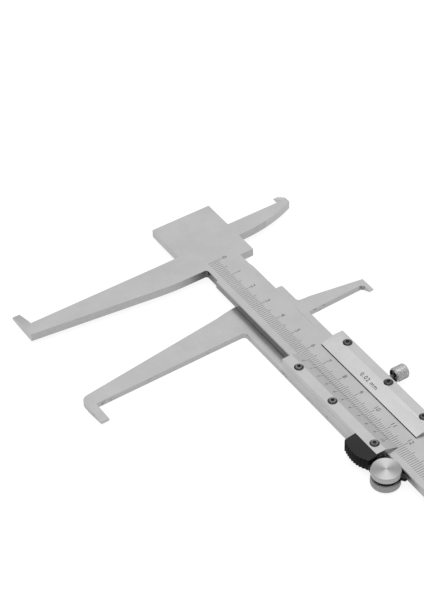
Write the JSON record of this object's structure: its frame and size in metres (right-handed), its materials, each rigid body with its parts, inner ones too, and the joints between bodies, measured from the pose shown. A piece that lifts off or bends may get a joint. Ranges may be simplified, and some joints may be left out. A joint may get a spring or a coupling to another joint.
{
  "type": "vernier caliper",
  "caption": "Inside-groove vernier caliper with long and short hooked jaws on a graduated beam, a screwed slider, a lock screw and a thumb roller.",
  "frame": {"origin": "on the back face of the head, under the zero line of the main scale and on the beam's centre line", "axes": "+X along the beam from the head to the far end, +Y towards the short jaws, +Z out of the graduated face"},
  "size_m": [0.3074, 0.1238, 0.0086],
  "materials": {
    "beam_steel": "satin ground steel, graduated",
    "jaw_plate_steel": "satin ground steel",
    "rail_steel": "ground steel",
    "cover_steel": "satin chrome on the bevelled cover",
    "vernier_steel": "satin chrome, graduated",
    "black_screws": "black oxide screws",
    "pin_steel": "ground dowel steel",
    "gib_bronze": "phosphor bronze",
    "knurled_steel": "knurled steel",
    "black_grip": "black oxide steel, satin",
    "roller_steel": "turned and knurled steel"
  },
  "bodies": {
    "beam": {"main_beam": "beam_steel", "stop_screw": "black_screws"},
    "slider": {"back_jaw_plate": "jaw_plate_steel", "upper_rail": "rail_steel", "lower_rail": "rail_steel", "upper_cover": "cover_steel", "vernier_plate": "vernier_steel", "cover_screws": "black_screws", "vernier_screws": "black_screws", "locating_pins": "pin_steel", "gib_strip": "gib_bronze", "gib_screws": "black_screws", "thumb_grip": "black_grip", "grip_screw": "black_screws", "roller_spring": "gib_bronze"},
    "pad": {"lock_pad": "gib_bronze"},
    "lock": {"lock_screw": "knurled_steel"},
    "roller": {"roller_upper_disc": "roller_steel", "roller_lower_disc": "roller_steel", "roller_axle": "pin_steel"}
  },
  "joints": [
    {"name": "slider_travel", "type": "slide", "parent": "beam", "child": "slider", "axis": [1, 0, 0], "range_m": [-0.0585, 0.14]},
    {"name": "lock_screw_turn", "type": "hinge", "parent": "pad", "child": "lock", "pos_m": [0.0883, 0.0184, 0.0018], "axis": [0, 1, 0], "range_deg": [-190, 360]},
    {"name": "lock_pad_press", "type": "slide", "parent": "slider", "child": "pad", "axis": [0, 1, 0], "range_m": [-0.000237, 0.00045]},
    {"name": "roller_spin", "type": "hinge", "parent": "slider", "child": "roller", "pos_m": [0.1269, -0.01405, 0.0019], "axis": [0, 0, 1], "continuous": true}
  ],
  "couplings": [
    {"joint": "lock_screw_turn", "follows": "lock_pad_press", "rad_per_m": 13963},
    {"joint": "roller_spin", "follows": "slider_travel", "rad_per_m": 178.57}
  ]
}
